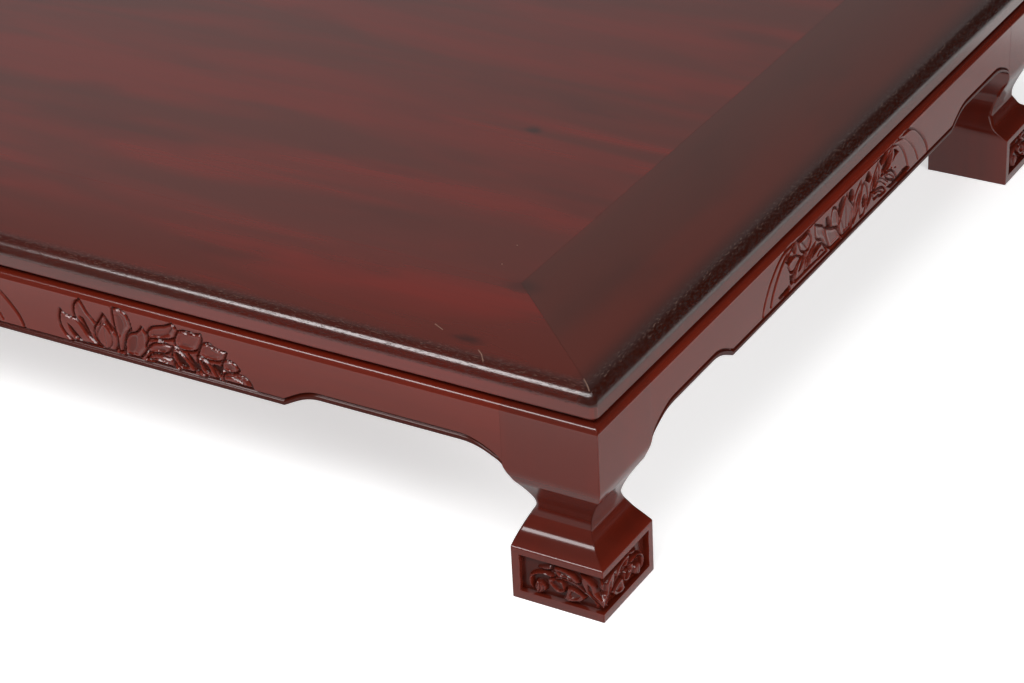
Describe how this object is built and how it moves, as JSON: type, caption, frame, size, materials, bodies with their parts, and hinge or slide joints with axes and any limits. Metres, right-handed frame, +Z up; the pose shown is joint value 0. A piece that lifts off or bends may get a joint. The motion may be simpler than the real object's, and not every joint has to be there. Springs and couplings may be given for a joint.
{
  "type": "kang table",
  "caption": "Low rectangular kang table in lacquered hardwood: mitred frame top with flush boards, arched carved aprons and moulded corner posts on carved block feet.",
  "frame": {"origin": "on the floor under the middle of the table", "axes": "+X along the long side, +Y towards the back long side, +Z up"},
  "size_m": [1.75, 1.1, 0.248],
  "materials": {
    "frame_lacquer": "glossy red-brown lacquer over rosewood",
    "panel_lacquer": "glossy red-brown lacquer over boards with red streaks",
    "waist_lacquer": "dark lacquer in the recess",
    "apron_lacquer": "glossy red-brown lacquer, carved",
    "leg_lacquer": "glossy red-brown lacquer, carved feet",
    "inner_wood": "planed hardwood, thinly stained"
  },
  "bodies": {
    "root": {"top_rail_front": "frame_lacquer", "top_rail_back": "frame_lacquer", "top_stile_left": "frame_lacquer", "top_stile_right": "frame_lacquer", "field_board_1": "panel_lacquer", "field_board_2": "panel_lacquer", "field_board_3": "panel_lacquer", "field_board_4": "panel_lacquer", "field_board_5": "panel_lacquer", "batten_1": "inner_wood", "batten_2": "inner_wood", "batten_3": "inner_wood", "batten_4": "inner_wood", "waist_front": "waist_lacquer", "waist_right": "waist_lacquer", "waist_back": "waist_lacquer", "waist_left": "waist_lacquer", "apron_front": "apron_lacquer", "apron_right": "apron_lacquer", "apron_back": "apron_lacquer", "apron_left": "apron_lacquer", "leg_front_left": "leg_lacquer", "leg_front_right": "leg_lacquer", "leg_back_right": "leg_lacquer", "leg_back_left": "leg_lacquer", "mitre_pegs": "inner_wood", "batten_pegs": "inner_wood", "apron_glue_blocks": "inner_wood", "leg_glue_blocks": "inner_wood"}
  },
  "joints": []
}
